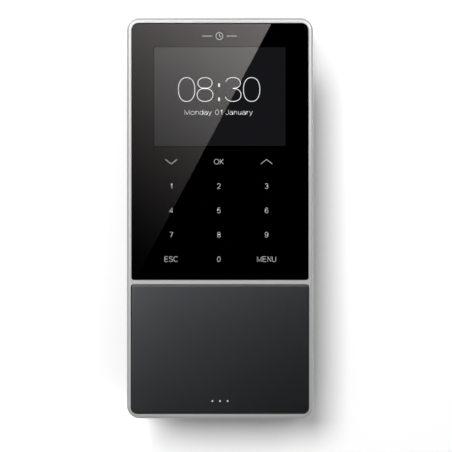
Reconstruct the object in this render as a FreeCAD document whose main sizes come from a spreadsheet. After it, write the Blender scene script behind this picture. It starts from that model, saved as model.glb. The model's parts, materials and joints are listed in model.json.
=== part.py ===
"""Punch time clock: a wall-hung badge and PIN terminal with a touch keypad under glass.

Millimetres. X is to the right of a person facing the clock, Y runs from the room into the wall and Z is up.
The origin is on the wall plane, at the middle of the clock. "Depth" is the distance from the wall, so
depth = -Y.
"""

import FreeCAD, Part
import math
import os

import Sketcher
from FreeCAD import Placement, Rotation, Vector

DOC = FreeCAD.newDocument("punch_time_clock")

# ---------------------------------------------------------------- driving dimensions

DIMENSIONS = {
    # the whole clock
    "frame_width": 94.4,
    "frame_height": 203.0,
    "clock_depth": 36.0,
    "fit_gap": 0.15,
    # front frame
    "frame_depth": 12.0,
    "frame_wall": 2.0,
    "frame_corner": 6.3,
    "frame_edge": 1.6,
    "seat_depth": 2.7,
    "ledge_thick": 2.0,
    "ledge_wide": 4.5,
    "ledge_tall": 4.0,
    "top_band": 2.45,
    "cross_bar": 2.05,
    "bottom_band": 2.15,
    # cover glass and what is printed and bonded behind it
    "glass_opening_width": 90.0,
    "glass_opening_height": 130.5,
    "glass_top_corner": 3.8,
    "glass_bottom_corner": 1.5,
    "glass_thick": 2.0,
    "glass_recess": 0.2,
    "mask_thick": 0.1,
    # display
    "display_z": 61.7,
    "window_width": 66.6,
    "window_height": 50.0,
    "lcd_width": 76.0,
    "lcd_height": 53.5,
    # keypad
    "key_pitch_x": 24.18,
    "key_pitch_z": 12.36,
    "key_first_z": 28.66,
    "key_shift_x": -0.57,
    "keypad_width": 78.0,
    "keypad_top": 33.0,
    "keypad_bottom": -27.0,
    # badge reader panel
    "panel_opening_width": 90.6,
    "panel_top_corner": 1.6,
    "panel_bottom_corner": 3.3,
    "panel_thick": 2.4,
    "panel_edge": 1.0,
    "light_pitch": 3.87,
    "light_z": -92.7,
    "light_radius": 0.45,
    "antenna_width": 68.0,
    "antenna_height": 57.0,
    "antenna_z": -65.7,
    # inner chassis and main board
    "chassis_width": 89.8,
    "chassis_height": 181.0,
    "chassis_thick": 1.8,
    "chassis_back": 25.7,
    "chassis_hole_x": 42.9,
    "board_width": 80.0,
    "board_top": 30.0,
    "board_bottom": -96.0,
    "board_thick": 1.6,
    "board_back": 21.0,
    "board_screw_x": 36.0,
    # rear cover
    "cover_back": 0.4,
    "cover_front": 25.5,
    "cover_back_width": 88.2,
    "cover_back_height": 196.8,
    "cover_corner": 4.6,
    "cover_draft": 2.0,
    "cover_wall": 2.2,
    "cover_edge": 1.8,
    "case_screw_x": 38.5,
    "case_screw_z": 94.5,
    # wall bracket
    "bracket_width": 72.0,
    "bracket_top": 68.0,
    "sheet_thick": 1.5,
    "bracket_gap": 0.4,
    "hook_width": 12.0,
    "hook_height": 7.0,
    "hook_x": 22.0,
    "hook_upper_z": 34.0,
    "hook_lower_z": -26.0,
    "lift_travel": 6.5,
    "wall_hole_x": 28.0,
    "wall_hole_upper_z": 57.0,
    "wall_hole_lower_z": -43.0,
    "wall_hole_radius": 2.25,
    # cable recess
    "recess_left": -26.0,
    "recess_right": 14.0,
    "recess_bottom": -86.0,
    "recess_top": -57.0,
    "recess_deep": 18.0,
    # locking screw under the clock
    "lock_depth": 7.0,
    "lock_radius": 1.5,
    "tab_top": -96.2,
    # tamper plunger and reset button
    "plunger_x": -27.0,
    "plunger_z": 8.0,
    "plunger_radius": 1.6,
    "plunger_travel": 1.2,
    "reset_x": 27.0,
    "reset_radius": 1.75,
    # loudspeaker
    "speaker_z": 86.0,
    "speaker_radius": 9.5,
    "grille_hole": 0.8,
    "grille_pitch": 2.9,
}


class Size:
    """A length together with the spreadsheet formula that gives it."""

    def __init__(self, value, formula):
        self.value = float(value)
        self.formula = formula

    def __add__(self, other):
        other = size_of(other)
        return Size(self.value + other.value, f"({self.formula} + {other.formula})")

    def __sub__(self, other):
        other = size_of(other)
        return Size(self.value - other.value, f"({self.formula} - {other.formula})")

    def __mul__(self, factor):
        return Size(self.value * factor, f"({self.formula} * {factor})")

    def __truediv__(self, factor):
        return Size(self.value / factor, f"({self.formula} / {factor})")

    def __neg__(self):
        return Size(-self.value, f"(0 - {self.formula})")

    def __radd__(self, other):
        return size_of(other) + self

    def __rsub__(self, other):
        return size_of(other) - self


def size_of(x):
    return x if isinstance(x, Size) else Size(x, repr(float(x)))


class Dimensions:
    """The spreadsheet of driving dimensions, read as attributes."""

    def __init__(self, values):
        sheet = DOC.addObject("Spreadsheet::Sheet", "dims")
        for row, (name, value) in enumerate(values.items(), start=1):
            sheet.set(f"A{row}", name.replace("_", " "))
            sheet.set(f"B{row}", str(value))
            sheet.setAlias(f"B{row}", name)
            setattr(self, name, Size(value, f"dims.{name}"))


D = Dimensions(DIMENSIONS)
DOC.recompute()

SUB_PARTS = {}


def keep(name, thing):
    """Names a finished sub-part, which is then written to a file of its own."""
    thing.Label = name
    SUB_PARTS[name] = thing
    return thing


def bind(thing, prop, size):
    """Sets a property to a size, through the sheet's formula."""
    thing.setExpression(prop, size_of(size).formula)


# ---------------------------------------------------------------- sketches and solid features

PLANE_ROLES = {"front": "XZ_Plane", "up": "XY_Plane", "right": "YZ_Plane"}


def new_body(name):
    return DOC.addObject("PartDesign::Body", name)


def new_sketch(body, facing, offset):
    """A sketch square to a direction: "front" (x, z; offset is depth), "up" (x, y) or "right" (y, z)."""
    role = PLANE_ROLES[facing]
    plane = next(p for p in body.Origin.OriginFeatures if p.Role == role)
    sketch = body.newObject("Sketcher::SketchObject", body.Name + "_sketch")
    sketch.AttachmentSupport = (plane, [""])
    sketch.MapMode = "FlatFace"
    sketch.AttachmentOffset = Placement(Vector(0, 0, size_of(offset).value), Rotation())
    bind(sketch, ".AttachmentOffset.Base.z", offset)
    return sketch


def dimension(sketch, kind, *where):
    """Adds a constraint whose last argument is a Size, and binds it to the sheet."""
    *places, size = where
    size = size_of(size)
    number = sketch.addConstraint(Sketcher.Constraint(kind, *places, size.value))
    sketch.setExpression(f"Constraints[{number}]", size.formula)


def circle(x, y, radius):
    """An outline maker: a full circle."""
    x, y, radius = size_of(x), size_of(y), size_of(radius)

    def draw(sketch):
        ring = Part.Circle(Vector(x.value, y.value, 0), Vector(0, 0, 1), radius.value)
        number = sketch.addGeometry(ring, False)
        dimension(sketch, "Radius", number, radius)
        dimension(sketch, "DistanceX", -1, 1, number, 3, x)
        dimension(sketch, "DistanceY", -1, 1, number, 3, y)

    return draw


def rect(x, y, width, height, corner=0, lower_corner=None):
    """An outline maker: a rectangle about (x, y), with rounded corners, the lower two of another radius."""
    x, y, width, height, upper = (size_of(v) for v in (x, y, width, height, corner))
    lower = upper if lower_corner is None else size_of(lower_corner)

    def draw(sketch):
        left = (x - width / 2).value
        right = (x + width / 2).value
        bottom = (y - height / 2).value
        top = (y + height / 2).value
        u, w = upper.value, lower.value
        sides = [
            ((left + u, top), (right - u, top)),
            ((right, top - u), (right, bottom + w)),
            ((right - w, bottom), (left + w, bottom)),
            ((left, bottom + w), (left, top - u)),
        ]
        lines = [
            sketch.addGeometry(Part.LineSegment(Vector(*a, 0), Vector(*b, 0)), False) for a, b in sides
        ]
        if u:
            corners = [(right - u, top - u, u, 0), (right - w, bottom + w, w, 270)]
            corners += [(left + w, bottom + w, w, 180), (left + u, top - u, u, 90)]
            arcs = []
            for cx, cy, r, start in corners:
                ring = Part.Circle(Vector(cx, cy, 0), Vector(0, 0, 1), r)
                arc = Part.ArcOfCircle(ring, math.radians(start), math.radians(start + 90))
                arcs.append(sketch.addGeometry(arc, False))
            for i in range(4):
                sketch.addConstraint(Sketcher.Constraint("Tangent", lines[i], 2, arcs[i], 2))
                following = lines[(i + 1) % 4]
                sketch.addConstraint(Sketcher.Constraint("Tangent", arcs[i], 1, following, 1))
            sketch.addConstraint(Sketcher.Constraint("Equal", arcs[0], arcs[3]))
            sketch.addConstraint(Sketcher.Constraint("Equal", arcs[1], arcs[2]))
            dimension(sketch, "Radius", arcs[0], upper)
            dimension(sketch, "Radius", arcs[1], lower)
        else:
            for i in range(4):
                following = lines[(i + 1) % 4]
                sketch.addConstraint(Sketcher.Constraint("Coincident", lines[i], 2, following, 1))
        for i, kind in enumerate(("Horizontal", "Vertical", "Horizontal", "Vertical")):
            sketch.addConstraint(Sketcher.Constraint(kind, lines[i]))
        dimension(sketch, "DistanceX", lines[3], 1, lines[1], 1, width)
        dimension(sketch, "DistanceY", lines[2], 1, lines[0], 1, height)
        dimension(sketch, "DistanceX", -1, 1, lines[3], 1, x - width / 2)
        dimension(sketch, "DistanceY", -1, 1, lines[2], 1, y - height / 2)

    return draw


def span(x0, x1, y0, y1, corner=0):
    """A rectangle given by its two ends in each direction."""
    x0, x1, y0, y1 = (size_of(v) for v in (x0, x1, y0, y1))
    return rect((x0 + x1) / 2, (y0 + y1) / 2, x1 - x0, y1 - y0, corner)


def polygon(points):
    """An outline maker: straight sides through the given points."""
    points = [(size_of(x), size_of(y)) for x, y in points]

    def draw(sketch):
        ends = [Vector(x.value, y.value, 0) for x, y in points]
        sides = [
            sketch.addGeometry(Part.LineSegment(a, b), False) for a, b in zip(ends, ends[1:] + ends[:1])
        ]
        for side, following, (x, y) in zip(sides, sides[1:] + sides[:1], points):
            sketch.addConstraint(Sketcher.Constraint("Coincident", side, 2, following, 1))
            dimension(sketch, "DistanceX", -1, 1, side, 1, x)
            dimension(sketch, "DistanceY", -1, 1, side, 1, y)

    return draw


def add(body, facing, start, stop, *outlines, taper=None):
    """Adds material from start to stop along a direction, with the section that the outlines give."""
    sketch = new_sketch(body, facing, start)
    for draw in outlines:
        draw(sketch)
    pad = body.newObject("PartDesign::Pad", body.Name + "_pad")
    pad.Profile = sketch
    bind(pad, "Length", size_of(stop) - start)
    if taper is not None:
        bind(pad, "TaperAngle", taper)
    DOC.recompute()
    return pad


def cut(body, facing, start, stop, *outlines, taper=None):
    """Removes material from start to stop along a direction. It fails if nothing was removed."""
    before = body.Shape.Volume
    sketch = new_sketch(body, facing, stop)
    for draw in outlines:
        draw(sketch)
    pocket = body.newObject("PartDesign::Pocket", body.Name + "_pocket")
    pocket.Profile = sketch
    bind(pocket, "Length", size_of(stop) - start)
    if taper is not None:
        bind(pocket, "TaperAngle", taper)
    DOC.recompute()
    if body.Shape.Volume > before - 1e-4:
        raise ValueError(f"{body.Name}: a cut removed nothing")
    return pocket


def dress(body, kind, size, picks):
    """Rounds ("Fillet") or bevels ("Chamfer") every edge that picks(bounding box) accepts."""
    base = body.Tip
    names = [f"Edge{i}" for i, edge in enumerate(base.Shape.Edges, start=1) if picks(edge.BoundBox)]
    feature = body.newObject("PartDesign::" + kind, body.Name + "_" + kind.lower())
    feature.Base = (base, names)
    bind(feature, "Radius" if kind == "Fillet" else "Size", size)
    DOC.recompute()
    return feature


def at_depth(depth):
    """Picks the edges that lie in one plane parallel to the wall."""
    y = -size_of(depth).value
    return lambda box: abs(box.YMin - y) < 1e-3 and abs(box.YMax - y) < 1e-3


# ---------------------------------------------------------------- primitives


def block(name, x, depth, z):
    """A Part box from its two ends in X, depth and Z."""
    x0, x1, d0, d1, z0, z1 = (size_of(v) for v in (*x, *depth, *z))
    box = DOC.addObject("Part::Box", name)
    bind(box, "Length", x1 - x0)
    bind(box, "Width", d1 - d0)
    bind(box, "Height", z1 - z0)
    bind(box, ".Placement.Base.x", x0)
    bind(box, ".Placement.Base.y", -d1)
    bind(box, ".Placement.Base.z", z0)
    return box


AXIS_TURNS = {
    "front": Rotation(Vector(1, 0, 0), 90),
    "up": Rotation(),
    "right": Rotation(Vector(0, 1, 0), 90),
}


def place(thing, facing, x, depth, z):
    """Stands a primitive's own Z along a direction, with its base at a point."""
    thing.Placement = Placement(Vector(), AXIS_TURNS[facing])
    bind(thing, ".Placement.Base.x", x)
    bind(thing, ".Placement.Base.y", -size_of(depth))
    bind(thing, ".Placement.Base.z", z)
    return thing


def rod(name, facing, x, depth, z, radius, length):
    cylinder = DOC.addObject("Part::Cylinder", name)
    bind(cylinder, "Radius", radius)
    bind(cylinder, "Height", length)
    return place(cylinder, facing, x, depth, z)


def cone(name, facing, x, depth, z, radius, end_radius, length):
    frustum = DOC.addObject("Part::Cone", name)
    bind(frustum, "Radius1", radius)
    bind(frustum, "Radius2", end_radius)
    bind(frustum, "Height", length)
    return place(frustum, facing, x, depth, z)


def fused(name, *pieces):
    union = DOC.addObject("Part::MultiFuse", name)
    union.Shapes = list(pieces)
    return union


def minus(name, base, *tools):
    difference = DOC.addObject("Part::Cut", name)
    difference.Base = base
    difference.Tool = tools[0] if len(tools) == 1 else fused(name + "_tools", *tools)
    return difference


def group(name, pieces):
    """Separate solids that share one sub-part."""
    compound = DOC.addObject("Part::Compound", name)
    compound.Links = list(pieces)
    return compound


def copies(name, original, places):
    """A group of copies of one piece, each moved to its place (x, depth, z)."""
    links = []
    for x, depth, z in places:
        link = DOC.addObject("App::Link", name + "_copy")
        link.LinkedObject = original
        bind(link, ".Placement.Base.x", x)
        bind(link, ".Placement.Base.y", -size_of(depth))
        bind(link, ".Placement.Base.z", z)
        links.append(link)
    return group(name, links)


# ---------------------------------------------------------------- shapes that follow a path


def rounded_path(points, radius):
    """A wire of straight runs joined by tangent arcs of one radius."""
    edges = []
    here = points[0]
    for before, corner, after in zip(points, points[1:], points[2:]):
        arriving = (corner - before).normalize()
        leaving = (after - corner).normalize()
        turn = arriving.getAngle(leaving)
        back = radius * math.tan(turn / 2)
        start = corner - arriving * back
        end = corner + leaving * back
        inward = (leaving - arriving).normalize()
        centre = corner + inward * (radius / math.cos(turn / 2))
        middle = centre - inward * radius
        if (start - here).Length > 1e-6:
            edges.append(Part.makeLine(here, start))
        edges.append(Part.Arc(start, middle, end).toShape())
        here = end
    edges.append(Part.makeLine(here, points[-1]))
    return Part.Wire(edges)


def swept(name, points, radius, section):
    """A Part feature: section(start, direction) swept along a rounded path."""
    path = rounded_path(points, radius)
    profile = section(points[0], (points[1] - points[0]).normalize())
    feature = DOC.addObject("Part::Feature", name)
    feature.Shape = path.makePipeShell([profile], True, True)
    return feature


def strip_section(across, width, thick):
    """A flat section of a given width along the unit vector across."""

    def section(start, direction):
        side = across * (width / 2)
        rise = across.cross(direction) * (thick / 2)
        corners = [side + rise, side - rise, -side - rise, -side + rise]
        return Part.makePolygon([start + c for c in (*corners, corners[0])])

    return section


def square_section(start, direction, across, width):
    """A square section of wire about a point, with two sides square to the unit vector across."""
    side = across * (width / 2)
    rise = across.cross(direction) * (width / 2)
    corners = [side + rise, side - rise, -side - rise, -side + rise]
    return Part.makePolygon([start + c for c in (*corners, corners[0])])


def ribbon(name, x, width, route):
    """A flat flexible cable of full width through (depth, z) points."""
    points = [Vector(x, -depth, z) for depth, z in route]
    return swept(name, points, RIBBON_BEND, strip_section(Vector(1, 0, 0), width, RIBBON_THICK))


RIBBON_THICK = 0.2
RIBBON_BEND = 0.5

# ---------------------------------------------------------------- levels and places shared by several pieces

FRONT = D.clock_depth
FRAME_BACK = FRONT - D.frame_depth
SEAT = FRONT - D.seat_depth
LEDGE_BACK = SEAT - D.ledge_thick
GLASS_FRONT = FRONT - D.glass_recess
GLASS_BACK = GLASS_FRONT - D.glass_thick
MASK_FRONT = GLASS_BACK - 0.08
MASK_BACK = MASK_FRONT - D.mask_thick
LCD_FRONT = MASK_BACK - 0.12
LCD_THICK = 1.3
TRAY_BACK = LCD_FRONT - 3.7
KEYPAD_BOARD = (30.1, 31.3)
ANTENNA_BOARD = (30.2, 31.2)
CHASSIS_FRONT = D.chassis_back + D.chassis_thick
BOARD_FRONT = D.board_back + D.board_thick

TOP = D.frame_height / 2
GLASS_TOP = TOP - D.top_band
GLASS_Z = GLASS_TOP - D.glass_opening_height / 2
PANEL_TOP = GLASS_TOP - D.glass_opening_height - D.cross_bar
PANEL_BOTTOM = -TOP + D.bottom_band
PANEL_HEIGHT = PANEL_TOP - PANEL_BOTTOM
PANEL_Z = (PANEL_TOP + PANEL_BOTTOM) / 2
PANEL_BACK = FRONT - D.panel_thick

COVER_FLOOR = D.cover_back + D.cover_wall
BRACKET_SEAT = D.sheet_thick + D.bracket_gap
BRACKET_SEAT_FLOOR = BRACKET_SEAT + D.cover_wall
LIP_BACK = BRACKET_SEAT_FLOOR + 0.3
LOCK_CEILING = D.tab_top + 0.2

CASE_SCREWS = [(D.case_screw_x * i, D.case_screw_z * j) for i in (-1, 1) for j in (-1, 1)]
CHASSIS_SCREWS = [(D.chassis_hole_x * i, z) for i in (-1, 1) for z in (82.0, 18.0, -38.0, -84.0)]
BOARD_SCREWS = [(D.board_screw_x * i, z) for i in (-1, 1) for z in (24.0, -78.0)]
ANTENNA_SCREWS = [(x, z) for x in (-30.0, 30.0) for z in (-41.0, -84.0)]
WALL_HOLES = [(D.wall_hole_x * i, z) for i in (-1, 1) for z in (D.wall_hole_upper_z, D.wall_hole_lower_z)]
HOOKS = [(D.hook_x * i, z) for i in (-1, 1) for z in (D.hook_upper_z, D.hook_lower_z)]
LIGHTS = [D.light_pitch * i for i in (-1, 0, 1)]
KEYS = [
    (D.key_shift_x + D.key_pitch_x * column, D.key_first_z - D.key_pitch_z * row)
    for row in range(5)
    for column in (-1, 0, 1)
]


def glass_outline(inset):
    """The cover glass's outline, drawn in by a distance all round."""
    inset = size_of(inset)
    width = D.glass_opening_width - inset * 2
    height = D.glass_opening_height - inset * 2
    return rect(0, GLASS_Z, width, height, D.glass_top_corner - inset, D.glass_bottom_corner - inset)


def panel_outline(inset):
    """The reader panel's outline, drawn in by a distance all round."""
    inset = size_of(inset)
    width = D.panel_opening_width - inset * 2
    height = PANEL_HEIGHT - inset * 2
    return rect(0, PANEL_Z, width, height, D.panel_top_corner - inset, D.panel_bottom_corner - inset)


def circles(places, radius):
    return [circle(x, z, radius) for x, z in places]


# ---------------------------------------------------------------- front frame, glass and keypad


def front_frame():
    """Silver frame with a cross bar, a ledge behind both openings and screw posts behind the ledge."""
    body = new_body("front_frame")
    add(body, "front", FRAME_BACK, FRONT, rect(0, 0, D.frame_width, D.frame_height, D.frame_corner))
    dress(body, "Fillet", D.frame_edge, at_depth(FRONT))
    dress(body, "Chamfer", 0.3, at_depth(FRAME_BACK))
    hollow_width = D.frame_width - D.frame_wall * 2
    hollow_height = D.frame_height - D.frame_wall * 2
    hollow_corner = D.frame_corner - D.frame_wall
    cut(body, "front", SEAT, FRONT, glass_outline(0), panel_outline(0))
    cut(body, "front", FRAME_BACK, LEDGE_BACK, rect(0, 0, hollow_width, hollow_height, hollow_corner))
    window_width = D.glass_opening_width - D.ledge_wide * 2
    upper_height = D.glass_opening_height - D.ledge_tall * 2
    lower_height = PANEL_HEIGHT - D.ledge_tall * 2
    cut(
        body,
        "front",
        LEDGE_BACK,
        SEAT,
        rect(0, GLASS_Z, window_width, upper_height, 9, 4),
        rect(0, PANEL_Z, window_width, lower_height, 4, 9),
    )
    add(body, "front", D.cover_front + 0.1, LEDGE_BACK, *circles(CASE_SCREWS, 3.25))
    add(body, "front", CHASSIS_FRONT, LEDGE_BACK, *circles(CHASSIS_SCREWS, 2.2))
    cut(body, "front", D.cover_front, 31.0, *circles(CASE_SCREWS, 1.55))
    cut(body, "front", CHASSIS_FRONT, 32.6, *circles(CHASSIS_SCREWS, 1.1))
    keep("front_frame", body)


def cover_glass():
    body = new_body("cover_glass")
    add(body, "front", GLASS_BACK, GLASS_FRONT, glass_outline(D.fit_gap))
    dress(body, "Fillet", 0.3, at_depth(GLASS_FRONT))
    keep("cover_glass", body)


def glass_mask():
    """Black print behind the glass, clear over the display."""
    body = new_body("glass_mask")
    window = rect(0, D.display_z, D.window_width, D.window_height)
    add(body, "front", MASK_BACK, MASK_FRONT, glass_outline(D.fit_gap + 0.05), window)
    keep("glass_mask", body)


def glass_adhesive():
    """Ring of foam tape that bonds the glass to the frame's ledge."""
    body = new_body("glass_adhesive")
    add(
        body,
        "front",
        SEAT,
        MASK_BACK,
        glass_outline(0.5),
        rect(0, GLASS_Z, D.glass_opening_width - 7, D.glass_opening_height - 6.4, 8, 4),
    )
    keep("glass_adhesive", body)


def keypad_stack():
    """Touch film, light guide, circuit board and key lamps behind the keypad."""
    half = D.keypad_width / 2
    low, high = D.keypad_bottom, D.keypad_top
    film = block("touch_film", (-half, half), (MASK_BACK - 0.22, MASK_BACK - 0.02), (low, high))
    keep("touch_sensor_film", film)

    guide = new_body("legend_light_guide")
    add(guide, "front", 32.0, 33.25, span(-half + 0.5, half - 0.5, low + 0.5, high - 0.5, 1))
    pockets = [rect(x, z, 3.0, 2.2) for x, z in KEYS]
    cut(guide, "front", 32.0, 32.6, *pockets)
    keep("legend_light_guide", guide)

    board = new_body("keypad_board")
    back, front = KEYPAD_BOARD
    corners = [(x, z) for x in (-35.0, 35.0) for z in (-23.5, 29.5)]
    add(board, "front", back, front, span(-half, half, low, high, 1.5), *circles(corners, 1.2))
    keep("keypad_board", board)

    depths = (front, front + 0.6)
    lamps = [block("key_lamp", (x - 1.0, x + 1.0), depths, (z - 0.6, z + 0.6)) for x, z in KEYS]
    keep("keypad_lamps", group("keypad_lamps", lamps))


def display_module():
    """Liquid crystal panel, backlight and the pressed metal tray that holds them."""
    half_width = D.lcd_width / 2
    low = D.display_z - D.lcd_height / 2
    high = D.display_z + D.lcd_height / 2
    panel_back = LCD_FRONT - LCD_THICK
    panel = block("display_panel", (-half_width, half_width), (panel_back, LCD_FRONT), (low, high))
    keep("display_panel", panel)
    backlight = (TRAY_BACK + 0.3, panel_back)
    keep("display_backlight", block("display_backlight", (-half_width, half_width), backlight, (low, high)))

    tray = new_body("display_tray")
    tray_front = LCD_FRONT - 0.6
    outer_width = D.lcd_width + 1.6
    outer_height = D.lcd_height + 1.6
    add(tray, "front", TRAY_BACK, tray_front, rect(0, D.display_z, outer_width, outer_height, 1))
    inner = rect(0, D.display_z, D.lcd_width + 0.4, D.lcd_height + 0.4)
    cut(tray, "front", TRAY_BACK + 0.3, tray_front, inner)
    tail_slot = rect(0, low - 0.5, 20, 2)
    cut(tray, "front", TRAY_BACK + 1.5, tray_front, tail_slot)
    keep("display_tray", tray)


def ribbons():
    """Flat cables from the display, the keypad and the reader board to the main board."""
    plug = 23.3
    display_route = [(32.4, 34.7), (32.4, 33.6), (plug, 33.6), (plug, 27.9)]
    keypad_route = [(29.5, -10.1), (29.5, -14), (plug, -14), (plug, -18.9)]
    reader_route = [(29.6, -47.1), (29.6, -51), (plug, -51), (plug, -55.9)]
    keep("display_ribbon", ribbon("display_ribbon", 0, 16, display_route))
    keep("keypad_ribbon", ribbon("keypad_ribbon", -23, 10, keypad_route))
    keep("reader_ribbon", ribbon("reader_ribbon", 0, 8, reader_route))


# ---------------------------------------------------------------- badge reader


def reader_panel():
    """Dark panel in front of the badge antenna, with posts for the board and holes for the lights."""
    body = new_body("reader_panel")
    add(body, "front", PANEL_BACK, FRONT, panel_outline(D.fit_gap))
    dress(body, "Fillet", D.panel_edge, at_depth(FRONT))
    add(body, "front", ANTENNA_BOARD[1], PANEL_BACK, *circles(ANTENNA_SCREWS, 2.0))
    cut(body, "front", ANTENNA_BOARD[1], 34.2, *circles(ANTENNA_SCREWS, 0.85))
    cut(body, "front", PANEL_BACK, FRONT, *[circle(x, D.light_z, D.light_radius + 0.05) for x in LIGHTS])
    keep("reader_panel", body)

    tape = new_body("panel_adhesive")
    hole = rect(0, PANEL_Z, D.panel_opening_width - 7, PANEL_HEIGHT - 6.4, 4, 8)
    add(tape, "front", SEAT, PANEL_BACK, panel_outline(0.5), hole)
    keep("panel_adhesive", tape)


def status_lights():
    """One clear moulding with three pins, and a lamp behind each pin."""
    body = new_body("status_light_pipe")
    add(body, "front", 32.2, PANEL_BACK - 0.1, rect(0, D.light_z, 13, 2.4, 1))
    pins = [circle(x, D.light_z, D.light_radius) for x in LIGHTS]
    add(body, "front", PANEL_BACK - 0.1, FRONT + 0.05, *pins)
    keep("status_light_pipe", body)
    front = ANTENNA_BOARD[1]
    low, high = D.light_z - 0.5, D.light_z + 0.5
    lamps = [block("status_lamp", (x - 0.8, x + 0.8), (front, front + 0.6), (low, high)) for x in LIGHTS]
    keep("status_lamps", group("status_lamps", lamps))


def antenna():
    """Reader board with its printed coil, reader chip and ferrite sheet."""
    body = new_body("antenna_board")
    outline = rect(0, D.antenna_z, D.antenna_width, D.antenna_height, 2)
    add(body, "front", *ANTENNA_BOARD, outline, *circles(ANTENNA_SCREWS, 1.1))
    keep("antenna_board", body)

    turns, pitch, trace, copper = 5, 1.5, 0.7, 0.07
    half_width, half_height, centre_z = 27.0, 19.5, -62.5
    points = []
    for turn in range(turns):
        x = half_width - pitch * turn
        z = half_height - pitch * turn
        start_x = -x if turn == 0 else -x - pitch
        corners = [(start_x, z), (x, z), (x, -z), (-x, -z)]
        points += [Vector(a, -ANTENNA_BOARD[1] - copper / 2, centre_z + b) for a, b in corners]
    coil = swept("antenna_coil", points, 0.6, lambda start, direction: coil_section(start, trace, copper))
    keep("antenna_coil", coil)

    back = ANTENNA_BOARD[0]
    keep("reader_chip", block("reader_chip", (14.0, 19.0), (back - 0.9, back), (-90.0, -85.0)))
    keep("ferrite_sheet", block("ferrite_sheet", (8.0, 29.0), (back - 0.25, back), (-80.0, -45.0)))
    screw = pan_screw("antenna_screw", 1.7, 1.2, 0.8, 3.8)
    keep("antenna_screws", copies("antenna_screws", screw, [(x, back, z) for x, z in ANTENNA_SCREWS]))


def coil_section(start, trace, copper):
    """The coil's flat copper section where it starts, running along X."""
    half = Vector(0, 0, trace / 2)
    rise = Vector(0, copper / 2, 0)
    corners = [half + rise, half - rise, -half - rise, -half + rise]
    return Part.makePolygon([start + c for c in (*corners, corners[0])])


# ---------------------------------------------------------------- screws


def pan_screw(name, head_radius, head_height, shank_radius, length):
    """Pan-head screw with a cross recess. It runs to the front from its head's seat at the origin."""
    body = new_body(name)
    add(body, "front", -head_height, 0, circle(0, 0, head_radius))
    dress(body, "Fillet", head_height * 0.45, at_depth(-head_height))
    add(body, "front", 0, length, circle(0, 0, shank_radius))
    dress(body, "Chamfer", shank_radius * 0.35, at_depth(length))
    slot = head_radius * 0.3
    cut(body, "front", -head_height, -head_height * 0.4, rect(0, 0, head_radius * 1.15, slot))
    cut(body, "front", -head_height, -head_height * 0.4, rect(0, 0, slot, head_radius * 1.15))
    return body


def flat_screw(name, head_radius, head_height, shank_radius, length):
    """Countersunk screw, flush at the origin and running to the front."""
    head = cone(name + "_head", "front", 0, 0, 0, head_radius, shank_radius, head_height)
    shank = rod(name + "_shank", "front", 0, 0, 0, shank_radius, length)
    half, slot = head_radius * 0.55, head_radius * 0.15
    across = block(name + "_slot", (-half, half), (0, head_height * 0.6), (-slot, slot))
    upright = block(name + "_slot", (-slot, slot), (0, head_height * 0.6), (-half, half))
    return minus(name, fused(name + "_blank", head, shank), across, upright)


# ---------------------------------------------------------------- chassis and main board


def inner_chassis():
    """Plate that clamps the display and keypad boards forwards and carries the main board behind."""
    body = new_body("inner_chassis")
    add(
        body,
        "front",
        D.chassis_back,
        CHASSIS_FRONT,
        rect(0, 0, D.chassis_width, D.chassis_height, 2.5),
        span(-11, 11, 31.5, 35.5, 0.5),
        span(-30, -16, -16.5, -12, 0.5),
        span(-7, 7, -53.5, -49, 0.5),
        span(-26, 26, 44, 78, 3),
        span(4, 30, -20, 22, 3),
        *circles(CHASSIS_SCREWS, 1.15),
    )
    rib_front = TRAY_BACK - 0.05
    add(body, "front", CHASSIS_FRONT, rib_front, span(-37, 37, 37, 87, 2), span(-35.5, 35.5, 38.5, 85.5, 1))
    add(body, "front", CHASSIS_FRONT, 30.05, span(-37, 37, -25.5, 30.5, 2), span(-35.5, 35.5, -24, 29, 1))
    add(body, "front", BOARD_FRONT, D.chassis_back, *circles(BOARD_SCREWS, 2.75))
    cut(body, "front", BOARD_FRONT, 27.0, *circles(BOARD_SCREWS, 1.1))
    depth = 1.2
    for x, z in CHASSIS_SCREWS:
        countersink(body, x, z, depth)
    keep("inner_chassis", body)
    screw = flat_screw("chassis_screw", 2.0, 1.0, 1.05, 6.6)
    seat = D.chassis_back + 0.05
    keep("chassis_screws", copies("chassis_screws", screw, [(x, seat, z) for x, z in CHASSIS_SCREWS]))


def countersink(body, x, z, depth):
    """A conical seat for a flat head, which narrows to the front."""
    top = D.chassis_back + depth
    sketch = new_sketch(body, "front", top)
    circle(x, z, 1.15)(sketch)
    pocket = body.newObject("PartDesign::Pocket", body.Name + "_countersink")
    pocket.Profile = sketch
    bind(pocket, "Length", depth)
    pocket.TaperAngle = 38.0
    DOC.recompute()


def main_board():
    body = new_body("main_board")
    half = D.board_width / 2
    outline = span(-half, half, D.board_bottom, D.board_top, 1.5)
    add(body, "front", D.board_back, BOARD_FRONT, outline, *circles(BOARD_SCREWS, 1.6))
    notches = [
        span(-half - 5, -half + 7, D.board_bottom - 5, D.board_bottom + 8),
        span(half - 7, half + 5, D.board_bottom - 5, D.board_bottom + 8),
    ]
    cut(body, "front", D.board_back, BOARD_FRONT, *notches)
    keep("main_board", body)
    screw = pan_screw("board_screw", 2.5, 1.6, 1.05, 5.6)
    keep("board_screws", copies("board_screws", screw, [(x, D.board_back, z) for x, z in BOARD_SCREWS]))


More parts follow.
